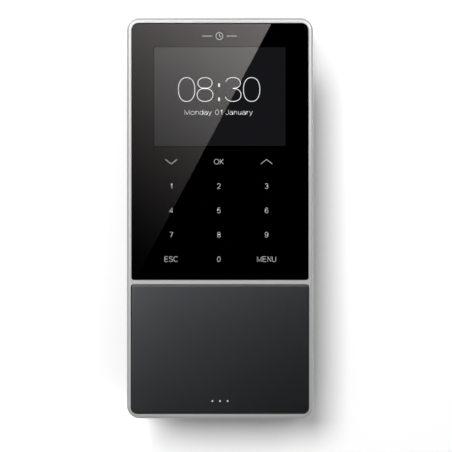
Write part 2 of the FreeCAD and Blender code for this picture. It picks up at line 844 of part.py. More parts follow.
def board_parts():
    """Chips, connectors and power parts soldered to the main board."""
    front, back = BOARD_FRONT, D.board_back
    keep("processor", block("processor", (-8.0, 8.0), (front, front + 1.2), (-9.0, 7.0)))
    keep("memory_chip", block("memory_chip", (-7.0, 6.0), (front, front + 1.0), (-29.0, -19.0)))

    can = new_body("processor_shield")
    add(can, "front", front, front + 2.4, rect(0, -11, 22, 42, 1))
    cut(can, "front", front, front + 2.1, rect(0, -11, 21.4, 41.4, 0.7))
    vents = [circle(x, z, 0.8) for x in (-6.0, 0.0, 6.0) for z in (-26.0, -11.0, 4.0)]
    cut(can, "front", front + 2.1, front + 2.4, *vents)
    keep("processor_shield", can)

    connectors = [
        block("ribbon_connector", (-9.5, 9.5), (front, front + 1.3), (23.6, 27.8)),
        block("ribbon_connector", (-29.0, -17.0), (front, front + 1.3), (-23.2, -19.0)),
        block("ribbon_connector", (-5.0, 5.0), (front, front + 1.3), (-60.2, -56.0)),
        block("ribbon_connector", (-29.0, -17.0), (29.0, 30.1), (-10.0, -6.0)),
        block("ribbon_connector", (-5.0, 5.0), (29.1, 30.2), (-47.0, -43.0)),
    ]
    keep("ribbon_connectors", group("ribbon_connectors", connectors))

    radio = block("radio_board", (-38.0, -22.0), (back - 0.8, back), (12.0, 20.0))
    can = block("radio_can", (-36.5, -26.0), (back - 2.4, back - 0.8), (12.6, 19.4))
    keep("wifi_module", fused("wifi_module", radio, can))

    keep("lan_transformer", block("lan_transformer", (-22.5, -9.5), (back - 5.6, back), (-31.5, -24.5)))
    keep("power_inductor", block("power_inductor", (20.0, 27.0), (back - 3.6, back), (-50.0, -43.0)))
    cans = [rod("capacitor", "front", x, back - 7.7, -32.0, 3.1, 7.7) for x in (4.0, 11.5, 19.0)]
    keep("capacitors", group("capacitors", cans))

    holder = new_body("coin_cell_holder")
    add(holder, "front", back - 4.6, back, rect(0, 12, 23.4, 23.4, 3))
    cut(holder, "front", back - 4.6, back - 0.9, circle(0, 12, 10.15))
    cut(holder, "front", back - 4.6, back - 0.9, rect(0, 22, 10, 6))
    keep("coin_cell_holder", holder)
    keep("coin_cell", rod("coin_cell", "front", 0, back - 4.2, 12, 10.0, 3.2))


def sockets():
    """Network, power and memory-stick sockets."""
    back = D.board_back
    face = D.recess_top + 2.0

    lan = new_body("lan_socket")
    add(lan, "up", face, face + 21, span(-24, -8, -back, -back + 13.4))
    cut(lan, "up", face, face + 13.5, rect(-16, -13.1, 11.9, 8.2), rect(-16, -8.4, 6.2, 1.4))
    keep("lan_socket", lan)
    wires = [
        block("lan_contact", (x - 0.2, x + 0.2), (16.75, 17.15), (face + 2.5, face + 13.0))
        for x in (-16 + 1.02 * (i - 3.5) for i in range(8))
    ]
    keep("lan_contacts", group("lan_contacts", wires))

    power = new_body("power_socket")
    add(power, "up", face, face + 14.2, span(1, 10, -back, -back + 11))
    cut(power, "up", face, face + 10.0, circle(5.5, -14.6, 3.15))
    keep("power_socket", power)
    keep("power_pin", rod("power_pin", "up", 5.5, 14.6, face + 0.8, 1.0, 9.2))

    mouth = -98.8
    usb = new_body("usb_socket")
    add(usb, "up", mouth, mouth + 14, span(18.6, 31.8, -back, -back + 5.9, 0.6))
    cut(usb, "up", mouth, mouth + 13.4, span(18.95, 31.45, -back + 0.35, -back + 5.5, 0.4))
    keep("usb_socket", usb)
    tongue = block("usb_tongue", (19.7, 30.7), (back - 2.6, back - 0.8), (mouth + 1.0, mouth + 13.4))
    keep("usb_tongue", tongue)


# ---------------------------------------------------------------- loudspeaker


def loudspeaker():
    z, r = D.speaker_z, D.speaker_radius
    body = new_body("speaker_basket")
    floor = COVER_FLOOR + 0.1
    add(body, "front", floor, floor + 3.6, circle(0, z, r))
    cut(body, "front", floor, floor + 3.0, circle(0, z, r - 0.7))
    cut(body, "front", floor + 3.0, floor + 3.6, circle(0, z, 3.4))
    keep("speaker_basket", body)
    bowl = cone("speaker_bowl", "front", 0, floor + 0.4, z, 8.4, 3.6, 2.2)
    hollow = cone("speaker_hollow", "front", 0, floor + 0.1, z, 8.6, 3.5, 2.2)
    cap = rod("speaker_cap", "front", 0, floor + 2.2, z, 3.6, 0.4)
    keep("speaker_cone", fused("speaker_cone", minus("speaker_shell", bowl, hollow), cap))
    keep("speaker_magnet", rod("speaker_magnet", "front", 0, floor + 3.6, z, 6.0, 2.6))


def speaker_leads():
    """Two thin wires from the loudspeaker to the main board's edge."""
    top = 34.0
    solids = []
    for side in (-1, 1):
        x = 2.0 * side
        route = [(x, 10.2, 76.8), (x, 12.5, 66.0), (x * 2, 16.0, 54.0)]
        route += [(x * 3, 19.6, 43.0), (x * 4, 20.2, top)]
        route.append((x * 4, 20.2, 28.0))
        points = [Vector(a, -depth, z) for a, depth, z in route]
        solids.append(lead_shape(points, 0.45))
    feature = DOC.addObject("Part::Feature", "speaker_leads")
    feature.Shape = Part.makeCompound(solids)
    keep("speaker_leads", feature)


def lead_shape(points, radius):
    """A round wire along straight runs joined by tangent arcs."""
    path = rounded_path(points, 8.0)
    direction = (points[1] - points[0]).normalize()
    section = Part.Wire(Part.makeCircle(radius, points[0], direction))
    return path.makePipeShell([section], True, True)


# ---------------------------------------------------------------- rear cover


def rear_cover():
    """Drafted dark shell with the bracket's seat, the cable recess, screw wells, grille and vents."""
    body = new_body("rear_cover")
    back, front = D.cover_back, D.cover_front
    wall = D.cover_wall
    outer = rect(0, 0, D.cover_back_width, D.cover_back_height, D.cover_corner)
    add(body, "front", back, front, outer, taper=D.cover_draft)
    dress(body, "Fillet", D.cover_edge, at_depth(back))
    spread = (front - COVER_FLOOR) * math.tan(math.radians(DIMENSIONS["cover_draft"]))
    inner_width = D.cover_back_width + spread * 2 - wall * 2
    inner_height = D.cover_back_height + spread * 2 - wall * 2
    inner = rect(0, 0, inner_width, inner_height, D.cover_corner + spread - wall)
    cut(body, "front", COVER_FLOOR, front, inner, taper=-D.cover_draft)

    # material inside the shell for everything that is later cut from behind
    seat_half = D.bracket_width / 2 + 1.5
    seat_top = D.bracket_top + 4
    under_seat = span(-seat_half - 2, seat_half + 2, -97.0, seat_top + 2, 3)
    add(body, "front", COVER_FLOOR, BRACKET_SEAT_FLOOR, under_seat)
    well = [rect(x, z - D.lift_travel / 2, 16.4, 22.9, 8.1) for x, z in WALL_HOLES]
    add(body, "front", BRACKET_SEAT_FLOOR, 7.4, *well)
    tub_outer = span(D.recess_left - 2, D.recess_right + 2, D.recess_bottom - 2, D.recess_top + 2, 2.5)
    add(body, "front", BRACKET_SEAT_FLOOR, D.recess_deep + 2, tub_outer)
    add(body, "front", BRACKET_SEAT_FLOOR, 15.5, span(-14.5, 14.5, -97.4, LOCK_CEILING + 2.5))
    add(body, "front", COVER_FLOOR, front, *circles(CASE_SCREWS, 3.6))
    add(body, "front", BRACKET_SEAT_FLOOR, 9.0, circle(D.plunger_x, D.plunger_z, 3.4))
    add(body, "front", BRACKET_SEAT_FLOOR, 9.0, circle(D.reset_x, D.plunger_z, 2.6))
    speaker_ring = circle(0, D.speaker_z, D.speaker_radius + 1.6)
    add(body, "front", COVER_FLOOR, 6.0, speaker_ring, circle(0, D.speaker_z, D.speaker_radius + 0.15))
    add(body, "up", LOCK_CEILING, -89.0, circle(0, -D.lock_depth, 4.2))

    # cuts from behind
    cut(body, "front", back - 1, BRACKET_SEAT, span(-seat_half, seat_half, -110, seat_top, 3))
    wells = [rect(x, z - D.lift_travel / 2, 12, 18.5, 5.9) for x, z in WALL_HOLES]
    cut(body, "front", back - 1, 6.2, *wells)
    tub = span(D.recess_left, D.recess_right, D.recess_bottom, D.recess_top, 1.5)
    cut(body, "front", back - 1, D.recess_deep, tub)
    slot_height = D.lift_travel + 1.9
    slot_width = D.hook_width + 0.8
    slot_drop = D.sheet_thick - slot_height / 2
    slots = [rect(x, z + slot_drop, slot_width, slot_height, 0.3) for x, z in HOOKS]
    cut(body, "front", back - 1, BRACKET_SEAT_FLOOR, *slots)
    cut(body, "front", back - 1, 14.0, *circles(CASE_SCREWS, 2.9))
    cut(body, "front", 13.9, front, *circles(CASE_SCREWS, 1.6))
    cut(body, "front", back - 1, 9.0, circle(D.plunger_x, D.plunger_z, D.plunger_radius + 0.08))
    room_top = D.plunger_z + D.lift_travel + 1
    ramp_room = span(D.plunger_x - 3.5, D.plunger_x + 3.5, -D.lift_travel + 4, room_top, 0.5)
    cut(body, "front", back - 1, BRACKET_SEAT + 1.1, ramp_room)
    cut(body, "front", back - 1, 9.0, circle(D.reset_x, D.plunger_z, 1.3))
    cut(body, "front", back - 1, COVER_FLOOR, *circles(grille_places(), D.grille_hole))
    cut(body, "front", back - 1, 13.0, span(-12, 12, -110, LOCK_CEILING))

    # cuts upwards: the sockets' mouths, the locking screw's insert and the vents
    mouths = [rect(-16, -12.9, 13, 9.4, 0.6), circle(5.5, -14.6, 3.9)]
    cut(body, "up", D.recess_top - 0.5, D.recess_top + 2.5, *mouths)
    cut(body, "up", -102, -94, span(18.3, 32.1, -21.3, -14.8, 0.8))
    cut(body, "up", LOCK_CEILING, -90.5, circle(0, -D.lock_depth, 2.1))
    vents = [span(x - 0.8, x + 0.8, -20.5, -9.5, 0.79) for x in (-18 - 3.4 * i for i in range(5))]
    cut(body, "up", -102, -94, *vents)
    keep("rear_cover", body)


def grille_places():
    """Hexagonal pattern of sound holes in front of the loudspeaker."""
    places = [(size_of(0), D.speaker_z)]
    for ring in (1, 2):
        for i in range(6 * ring):
            side, step = divmod(i, ring)
            a = math.radians(60 * side)
            b = math.radians(60 * side + 120)
            x = ring * math.cos(a) + step * math.cos(b)
            z = ring * math.sin(a) + step * math.sin(b)
            places.append((D.grille_pitch * round(x, 6), D.speaker_z + D.grille_pitch * round(z, 6)))
    return places


def cover_fittings():
    """Case screws, the brass insert for the locking screw and a blank label."""
    screw = pan_screw("case_screw", 2.75, 2.0, 1.5, 15.0)
    keep("case_screws", copies("case_screws", screw, [(x, 14.0, z) for x, z in CASE_SCREWS]))
    sleeve = rod("insert_sleeve", "up", 0, D.lock_depth, LOCK_CEILING, 2.1, 5.5)
    bore = rod("insert_bore", "up", 0, D.lock_depth, LOCK_CEILING, D.lock_radius + 0.05, 5.5)
    keep("lock_insert", minus("lock_insert", sleeve, bore))
    label = block("blank_label", (-14.0, 14.0), (BRACKET_SEAT - 0.1, BRACKET_SEAT), (-14.0, 30.0))
    keep("blank_label", label)


# ---------------------------------------------------------------- wall bracket and locking screw


def wall_bracket():
    """Pressed steel plate with four hooks and a bent tab for the locking screw."""
    body = new_body("wall_bracket")
    thick = D.sheet_thick
    half = D.bracket_width / 2
    tab_bottom = D.tab_top - thick
    holes = circles(WALL_HOLES, D.wall_hole_radius)
    cable_hole = span(D.recess_left + 2, D.recess_right - 2, D.recess_bottom + 2, D.recess_top - 2, 3)
    plate = span(-half, half, -92, D.bracket_top, 4)
    add(body, "front", 0, thick, plate, cable_hole, circle(D.reset_x, D.plunger_z, 3), *holes)
    add(body, "front", 0, thick, span(-9, 9, tab_bottom, -91))
    add(body, "front", 0, 11.5, span(-9, 9, tab_bottom, D.tab_top))
    for x, z in HOOKS:
        lip_front = LIP_BACK + thick
        hook_half = D.hook_width / 2
        add(body, "front", 0, lip_front, span(x - hook_half, x + hook_half, z, z + thick))
        add(body, "front", LIP_BACK, lip_front, span(x - hook_half, x + hook_half, z, z + D.hook_height))
    windows = [span(x - 6.5, x + 6.5, z + thick, z + 9.5, 1) for x, z in HOOKS]
    cut(body, "front", 0, thick, *windows)
    dress(body, "Fillet", 1.2, lock_tab_corners)
    plunger_ramp(body)
    cut(body, "up", tab_bottom, D.tab_top, circle(0, -D.lock_depth, D.lock_radius + 0.3))
    keep("wall_bracket", body)


def plunger_ramp(body):
    """A formed ramp that lets the tamper plunger out as the clock is lifted off its hooks."""
    foot = D.sheet_thick - 0.5
    peak = D.sheet_thick + D.plunger_travel
    z = D.plunger_z
    side = [(foot, z - 3.2), (D.sheet_thick, z - 3.2), (peak, z - 2.0), (peak, z)]
    side += [(D.sheet_thick, z + D.lift_travel), (foot, z + D.lift_travel)]
    outline = polygon([(-depth, height) for depth, height in side])
    add(body, "right", D.plunger_x - 3, D.plunger_x + 3, outline)


def lock_tab_corners(box):
    """The two upright edges at the free end of the locking tab."""
    upright = box.ZLength > 1 and box.XLength < 1e-6 and box.YLength < 1e-6
    return upright and abs(box.YMin + 11.5) < 1e-3


def lock_fittings():
    """Locking screw under the clock and its washer."""
    seat = D.tab_top - D.sheet_thick
    washer_disc = rod("washer_disc", "up", 0, D.lock_depth, seat - 0.65, 3.2, 0.6)
    washer_bore = rod("washer_bore", "up", 0, D.lock_depth, seat - 0.65, 1.6, 0.6)
    keep("lock_washer", minus("lock_washer", washer_disc, washer_bore))

    screw = new_body("lock_screw")
    head_top = seat - 0.7
    add(screw, "up", head_top - 1.9, head_top, circle(0, -D.lock_depth, 2.75))
    head_bottom = (head_top - 1.9).value
    dress(screw, "Fillet", 0.8, lambda box: abs(box.ZMin - head_bottom) < 1e-3 and box.ZLength < 1e-3)
    add(screw, "up", head_top, head_top + 7.9, circle(0, -D.lock_depth, D.lock_radius))
    tip = (head_top + 7.9).value
    dress(screw, "Chamfer", 0.4, lambda box: abs(box.ZMin - tip) < 1e-3 and box.ZLength < 1e-3)
    cut(screw, "up", head_top - 1.9, head_top - 0.6, hexagon(0, -D.lock_depth, 1.25))
    keep("lock_screw", screw)


def hexagon(x, y, apothem):
    """An outline maker: a regular hexagon given by half its width across flats."""
    reach = apothem / math.cos(math.radians(30))
    angles = [math.radians(60 * i) for i in range(6)]
    return polygon([(size_of(x) + reach * math.cos(a), y + reach * math.sin(a)) for a in angles])


# ---------------------------------------------------------------- tamper plunger and reset button


def tamper_parts():
    """Sprung plunger that rests on the bracket, its spring, and the switch that it presses."""
    x, z = D.plunger_x, D.plunger_z
    tip = D.sheet_thick + D.plunger_travel + 0.15
    nose = cone("plunger_nose", "front", x, tip, z, 0.6, D.plunger_radius, 0.8)
    pin = rod("plunger_pin", "front", x, tip + 0.8, z, D.plunger_radius, 12.6)
    collar = rod("plunger_collar", "front", x, 10.3, z, 2.7, 1.0)
    keep("tamper_plunger", fused("tamper_plunger", pin, nose, collar))

    wire, coil_radius, height, pitch = 0.4, 2.25, 5.2, 1.04
    helix = Part.makeHelix(pitch, height, coil_radius)
    direction = Vector(0, 2 * math.pi * coil_radius, pitch).normalize()
    section = square_section(Vector(coil_radius, 0, 0), direction, Vector(1, 0, 0), wire)
    spring = DOC.addObject("Part::Feature", "tamper_spring")
    spring.Shape = Part.Wire(helix.Edges).makePipeShell([section], True, True)
    spring.Placement = Placement(Vector(x.value, -11.55, z.value), AXIS_TURNS["front"])
    keep("tamper_spring", spring)

    body = new_body("tamper_switch")
    add(body, "front", 17.0, D.board_back, rect(x, z, 8.0, 6.0, 0.5))
    add(body, "front", 16.35, 17.0, circle(x, z, 1.1))
    keep("tamper_switch", body)


def reset_parts():
    """Push switch on the main board, pressed through a pin hole."""
    x, z = D.reset_x, D.plunger_z
    body = new_body("reset_switch")
    add(body, "front", 17.4, D.board_back, rect(x, z, 6, 6, 0.4))
    cut(body, "front", 17.4, 19.4, circle(x, z, D.reset_radius + 0.06))
    keep("reset_switch", body)
    button = new_body("reset_button")
    add(button, "front", 16.2, 18.9, circle(x, z, D.reset_radius))
    dress(button, "Chamfer", 0.25, at_depth(16.2))
    keep("reset_button", button)


# ---------------------------------------------------------------- build, check and write


def build():
    front_frame()
    cover_glass()
    glass_mask()
    glass_adhesive()
    keypad_stack()
    display_module()
    ribbons()
    reader_panel()
    status_lights()
    antenna()
    inner_chassis()
    main_board()
    board_parts()
    sockets()
    loudspeaker()
    speaker_leads()
    rear_cover()
    cover_fittings()
    wall_bracket()
    lock_fittings()
    tamper_parts()
    reset_parts()
    DOC.recompute()


def check():
    """Stops if any feature failed or any sub-part isn't a valid solid."""
    for thing in DOC.Objects:
        if {"Invalid", "Error"} & set(thing.State):
            raise ValueError(f"{thing.Label} failed: {thing.State}")
    for name, thing in SUB_PARTS.items():
        shape = thing.Shape
        if shape.isNull() or not shape.isValid() or not shape.Solids:
            raise ValueError(f"{name} has no valid solid")


def write():
    os.makedirs("parts", exist_ok=True)
    for old in os.listdir("parts"):
        os.remove(os.path.join("parts", old))
    for name, thing in SUB_PARTS.items():
        thing.Shape.exportStep(os.path.join("parts", name + ".step"))
    print(f"{len(SUB_PARTS)} sub-parts written")


build()
check()
write()
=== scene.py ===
import json
import math

import bpy
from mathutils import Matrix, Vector


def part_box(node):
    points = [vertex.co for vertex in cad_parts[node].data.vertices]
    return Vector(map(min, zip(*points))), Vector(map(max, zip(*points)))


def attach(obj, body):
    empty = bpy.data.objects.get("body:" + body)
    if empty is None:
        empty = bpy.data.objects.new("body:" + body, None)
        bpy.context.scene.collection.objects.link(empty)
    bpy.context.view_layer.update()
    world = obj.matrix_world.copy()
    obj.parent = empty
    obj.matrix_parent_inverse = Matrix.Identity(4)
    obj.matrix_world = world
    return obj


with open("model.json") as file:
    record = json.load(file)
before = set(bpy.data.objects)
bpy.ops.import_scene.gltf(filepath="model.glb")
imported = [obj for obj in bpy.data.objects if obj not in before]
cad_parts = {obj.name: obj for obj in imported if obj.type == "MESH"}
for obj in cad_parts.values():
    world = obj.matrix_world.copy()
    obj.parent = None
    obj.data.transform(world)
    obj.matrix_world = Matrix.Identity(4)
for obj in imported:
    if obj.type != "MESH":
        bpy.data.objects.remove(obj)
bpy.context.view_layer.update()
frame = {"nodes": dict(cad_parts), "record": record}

# Everything is in metres. X is to the right, the room is towards -Y, the wall is the plane Y = 0, and Z is up.
MM = 0.001


# ---------------------------------------------------------------- places read from the frame


def extent(node):
    """A node's middle, size and frontmost depth, from its box."""
    low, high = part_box(node)
    return (low + high) / 2, high - low, low.y


_, FACE_SIZE, FACE_FRONT = extent("front_frame")
GLASS_MIDDLE, GLASS_SIZE, GLASS_FRONT = extent("cover_glass")
_, _, MASK_FRONT = extent("glass_mask")
LCD_MIDDLE, _, LCD_FRONT = extent("display_panel")
LAMPS_MIDDLE, LAMPS_SIZE, _ = extent("keypad_lamps")

# One key is over each lamp, in this many columns and rows.
COLUMNS, ROWS = 3, 5
LAMP = Vector((2.0 * MM, 0, 1.2 * MM))
KEY_PITCH_X = (LAMPS_SIZE.x - LAMP.x) / (COLUMNS - 1)
KEY_PITCH_Z = (LAMPS_SIZE.z - LAMP.z) / (ROWS - 1)
KEY_LEFT_X = LAMPS_MIDDLE.x - (COLUMNS - 1) / 2 * KEY_PITCH_X
KEY_TOP_Z = LAMPS_MIDDLE.z + (ROWS - 1) / 2 * KEY_PITCH_Z

# The clear window in the print, in front of the display.
WINDOW = Vector((66.6 * MM, 0, 50.0 * MM))


# ---------------------------------------------------------------- materials


def srgb(code):
    """A linear colour from a web colour code."""
    values = [int(code[i : i + 2], 16) / 255 for i in (0, 2, 4)]
    return [v / 12.92 if v <= 0.04045 else ((v + 0.055) / 1.055) ** 2.4 for v in values]


class Finish:
    """A Principled material that is built up from layers of procedural texture."""

    def __init__(self, name, colour, roughness, **sockets):
        self.material = bpy.data.materials.new(name)
        self.material.use_nodes = True
        self.tree = self.material.node_tree
        self.shader = next(n for n in self.tree.nodes if n.type == "BSDF_PRINCIPLED")
        self.colour = list(colour)
        self.shader.inputs["Base Color"].default_value = (*colour, 1)
        self.shader.inputs["Roughness"].default_value = roughness
        for socket, value in sockets.items():
            label = socket.replace("_", " ").title().replace("Ior", "IOR")
            self.shader.inputs[label].default_value = value
        self.place = self.add("ShaderNodeTexCoord").outputs["Object"]
        self.normal = None

    def add(self, kind, **settings):
        node = self.tree.nodes.new(kind)
        for name, value in settings.items():
            setattr(node, name, value)
        return node

    def link(self, source, target):
        self.tree.links.new(source, target)

    def noise(self, size, detail=4.0, stretch=(1, 1, 1)):
        """Noise whose features are about one size across, stretched along an axis if asked."""
        mapping = self.add("ShaderNodeMapping")
        mapping.inputs["Scale"].default_value = [1 / (size * s) for s in stretch]
        self.link(self.place, mapping.inputs["Vector"])
        texture = self.add("ShaderNodeTexNoise")
        texture.inputs["Scale"].default_value = 1.0
        texture.inputs["Detail"].default_value = detail
        texture.inputs["Roughness"].default_value = 0.55
        self.link(mapping.outputs["Vector"], texture.inputs["Vector"])
        return texture.outputs["Fac"]

    def cells(self, size, feature="F1"):
        """Cells about one size across."""
        mapping = self.add("ShaderNodeMapping")
        mapping.inputs["Scale"].default_value = [1 / size] * 3
        self.link(self.place, mapping.inputs["Vector"])
        texture = self.add("ShaderNodeTexVoronoi", feature=feature)
        texture.inputs["Scale"].default_value = 1.0
        self.link(mapping.outputs["Vector"], texture.inputs["Vector"])
        return texture

    def ramp(self, source, low, high, start=0.3, stop=0.7):
        """Maps a texture's value onto a range."""
        node = self.add("ShaderNodeMapRange")
        node.inputs["From Min"].default_value = start
        node.inputs["From Max"].default_value = stop
        node.inputs["To Min"].default_value = low
        node.inputs["To Max"].default_value = high
        self.link(source, node.inputs["Value"])
        return node.outputs["Result"]

    def mottle(self, source, other, start=0.35, stop=0.65):
        """Shifts the colour towards another one where the texture is high."""
        node = self.add("ShaderNodeMix", data_type="RGBA")
        node.inputs["A"].default_value = (*self.colour, 1)
        node.inputs["B"].default_value = (*other, 1)
        self.link(self.ramp(source, 0, 1, start, stop), node.inputs["Factor"])
        self.link(node.outputs["Result"], self.shader.inputs["Base Color"])
        return self

    def scuff(self, source, low, high):
        """Varies the roughness between two values."""
        self.link(self.ramp(source, low, high), self.shader.inputs["Roughness"])
        return self

    def relief(self, source, height, strength):
        """Adds a bump of a real height."""
        node = self.add("ShaderNodeBump")
        node.inputs["Strength"].default_value = strength
        node.inputs["Distance"].default_value = height
        self.link(source, node.inputs["Height"])
        if self.normal is not None:
            self.link(self.normal, node.inputs["Normal"])
        self.normal = node.outputs["Normal"]
        self.link(self.normal, self.shader.inputs["Normal"])
        return self


def tinted(colour, factor):
    """A colour made lighter or darker."""
    return [min(1.0, c * factor) for c in colour]


# How far apart things repeat in the materials.
FLAKE = 0.16 * MM
PIXEL_ROW = 0.68 * MM
PANEL_GRAIN = 0.14 * MM
TRACK_PITCH = 3.1 * MM
ROLLING_LINE = 0.25 * MM


def satin_silver():
    """Silver paint: fine flakes, a faint flow in the gloss."""
    colour = srgb("dcdcdb")
    f = Finish("satin_silver", colour, 0.36, metallic=0.55, specular_ior_level=0.45)
    flakes = f.noise(FLAKE, detail=2)
    f.mottle(flakes, tinted(colour, 0.93))
    f.scuff(f.noise(7 * MM), 0.33, 0.40)
    return f.relief(f.noise(0.22 * MM, detail=2), 0.0012 * MM, 0.5).material


def clear_glass():
    """Polished cover glass with a trace of unevenness in its tint."""
    f = Finish("clear_glass", (0.96, 0.975, 0.97), 0.0, transmission_weight=1.0, ior=1.5)
    return f.mottle(f.noise(30 * MM, detail=3), (0.95, 0.97, 0.965)).material


def screen_print():
    """Black ink printed on the back of the glass, as smooth as the glass."""
    f = Finish("screen_print", (0.0006, 0.0006, 0.0007), 0.0, specular_ior_level=0.17)
    return f.mottle(f.noise(0.4 * MM), (0.0004, 0.0004, 0.0005)).material


def display_glass():
    """Liquid crystal panel, faintly lit from behind: rows of pixels and a polished polariser."""
    f = Finish("display_glass", (0.001, 0.001, 0.001), 0.0, specular_ior_level=0.72)
    f.shader.inputs["Emission Color"].default_value = (*srgb("17171a"), 1)
    f.shader.inputs["Emission Strength"].default_value = 1.05
    rows = f.add("ShaderNodeTexWave", bands_direction="Z")
    rows.inputs["Scale"].default_value = 1 / PIXEL_ROW
    f.link(f.place, rows.inputs["Vector"])
    f.mottle(rows.outputs["Fac"], (0.0016, 0.0016, 0.002))
    return f.material


def lit_ink(name, code, strength):
    """A lit legend: even light through milky ink. On the clock symbol, which has no lamp behind it, this glow
    is painted light.
    """
    f = Finish(name, srgb(code), 0.5)
    f.shader.inputs["Emission Color"].default_value = (*srgb(code), 1)
    f.shader.inputs["Emission Strength"].default_value = strength
    f.mottle(f.noise(0.5 * MM), tinted(srgb(code), 0.94))
    return f.material


def reader_finish():
    """Dark satin, like anodised metal, with a very fine and mostly level grain."""
    colour = srgb("979b9f")
    f = Finish("reader_finish", colour, 0.41, metallic=1.0)
    grain = f.noise(PANEL_GRAIN, detail=3, stretch=(6, 6, 1))
    f.mottle(grain, tinted(colour, 0.88))
    f.scuff(f.noise(9 * MM), 0.39, 0.43)
    f.relief(grain, 0.0016 * MM, 0.5)
    return f.relief(f.noise(0.3 * MM, detail=2), 0.0015 * MM, 0.4).material


def moulded_plastic(name, code, roughness, texture=0.5, height=0.012):
    """Injection-moulded plastic with an eroded texture."""
    colour = srgb(code)
    f = Finish(name, colour, roughness, specular_ior_level=0.4)
    f.mottle(f.noise(6 * MM), tinted(colour, 1.12))
    f.scuff(f.noise(2.5 * MM), roughness - 0.04, roughness + 0.05)
    return f.relief(f.noise(texture * MM, detail=3), height * MM, 0.6).material


def sheet_metal(name, code, roughness, spangle=2.2):
    """Zinc-plated steel: faint crystals, rolling lines and handling marks."""
    colour = srgb(code)
    f = Finish(name, colour, roughness, metallic=1.0)
    crystals = f.cells(spangle * MM)
    f.mottle(crystals.outputs["Distance"], tinted(colour, 0.9), 0.1, 0.8)
    f.scuff(f.noise(3 * MM), roughness - 0.06, roughness + 0.08)
    return f.relief(f.noise(ROLLING_LINE, stretch=(1, 1, 12), detail=2), 0.0025 * MM, 0.5).material


def turned_metal(name, code, roughness):
    """Plated or bare turned metal with fine machining marks."""
    colour = srgb(code)
    f = Finish(name, colour, roughness, metallic=1.0)
    f.mottle(f.noise(0.8 * MM), tinted(colour, 0.9))
    f.scuff(f.noise(0.5 * MM), roughness - 0.05, roughness + 0.07)
    return f.relief(f.noise(0.08 * MM, detail=1), 0.0008 * MM, 0.4).material


def circuit_board(name, code, trace_code):
    """Solder mask over copper: blocks of pour and fine traces show through."""
    f = Finish(name, srgb(code), 0.32, specular_ior_level=0.5)
    cells = f.cells(3.2 * MM, feature="DISTANCE_TO_EDGE")
    f.mottle(cells.outputs["Distance"], srgb(trace_code), 0.08, 0.11)
    f.relief(cells.outputs["Distance"], 0.02 * MM, 0.25)
    f.scuff(f.noise(4 * MM), 0.28, 0.38)
    return f.material


def ribbon_film(name, code):
    """Flexible circuit: amber film with copper tracks along its length."""
    colour = srgb(code)
    f = Finish(name, colour, 0.25, specular_ior_level=0.5)
    tracks = f.add("ShaderNodeTexWave", bands_direction="X")
    tracks.inputs["Scale"].default_value = 1 / TRACK_PITCH
    f.link(f.place, tracks.inputs["Vector"])
    f.mottle(tracks.outputs["Fac"], srgb("b5702c"))
    return f.scuff(f.noise(2 * MM), 0.2, 0.32).material


def brushed_label():
    """Silver foil label, left blank."""
    colour = srgb("c9cbcc")
    f = Finish("brushed_label", colour, 0.35, metallic=0.7)
    brushing = f.noise(0.2 * MM, stretch=(25, 1, 1), detail=2)
    f.mottle(brushing, tinted(colour, 0.88))
    return f.relief(brushing, 0.001 * MM, 0.5).material


def paper_cone():
    """Pressed black paper fibres."""
    f = Finish("paper_cone", srgb("2a2a2b"), 0.85)
    fibres = f.noise(0.3 * MM, stretch=(1, 1, 3))
    f.mottle(fibres, srgb("363637"))
    return f.relief(fibres, 0.03 * MM, 0.7).material


def foam_tape():
    """Black foam with open pores."""
    f = Finish("foam_tape", srgb("161616"), 0.9)
    pores = f.cells(0.35 * MM)
    f.mottle(pores.outputs["Distance"], srgb("1f1f1f"))
    return f.relief(pores.outputs["Distance"], 0.05 * MM, 0.6).material


SLOT_FINISHES = {
    "silver_paint": satin_silver(),
    "clear_glass": clear_glass(),
    "black_print": screen_print(),
    "foam_tape": foam_tape(),
    "film": moulded_plastic("sensor_film", "5d5f58", 0.2, height=0.002),
    "light_guide": lit_ink("milky_acrylic", "b4b6b8", 0.12),
    "lamp": lit_ink("lamp_resin", "f3e9b0", 0.2),
    "lcd": display_glass(),
    "backlight": lit_ink("diffuser", "e8ecf0", 0.3),
    "steel": sheet_metal("plated_steel", "b4b6b8", 0.34),
    "bright_steel": turned_metal("nickel_plate", "d2d2d0", 0.22),
    "polyimide": ribbon_film("flexible_circuit", "8a4c14"),
    "dark_panel": reader_finish(),
    "white_board": circuit_board("white_board", "dcdedb", "cfd2d0"),
    "green_board": circuit_board("green_board", "12512f", "1c6b3f"),
    "copper": turned_metal("copper_trace", "c47a4c", 0.3),
    "chip": moulded_plastic("chip_resin", "1d1d1f", 0.5, texture=0.15, height=0.004),
    "ferrite": moulded_plastic("ferrite_body", "2b2a2a", 0.55, texture=0.2, height=0.01),
    "chassis_plastic": moulded_plastic("chassis_plastic", "242426", 0.5),
    "cover_plastic": moulded_plastic("cover_plastic", "2e2f31", 0.52, texture=0.45, height=0.02),
    "socket_plastic": moulded_plastic("socket_plastic", "161617", 0.42, texture=0.25, height=0.005),
    "cream_plastic": moulded_plastic("cream_nylon", "ddd5b8", 0.4, texture=0.3, height=0.005),
    "gold": turned_metal("gold_plate", "d8b15e", 0.2),
    "capacitor": turned_metal("capacitor_can", "c4c6c8", 0.3),
    "cell": turned_metal("cell_steel", "c0c0be", 0.28),
    "paper_cone": paper_cone(),
    "lead": moulded_plastic("lead_insulation", "7d1512", 0.4, texture=0.4, height=0.004),
    "brass": turned_metal("machined_brass", "c8a050", 0.28),
    "label": brushed_label(),
    "bracket_steel": sheet_metal("galvanised_sheet", "a9abad", 0.4, spangle=3.4),
    "spring_steel": turned_metal("spring_wire", "9a9c9f", 0.3),
    "plunger_plastic": moulded_plastic("white_acetal", "d6d6d0", 0.38, texture=0.4, height=0.004),
    "button_plastic": moulded_plastic("red_button", "a02018", 0.4, texture=0.3, height=0.004),
}

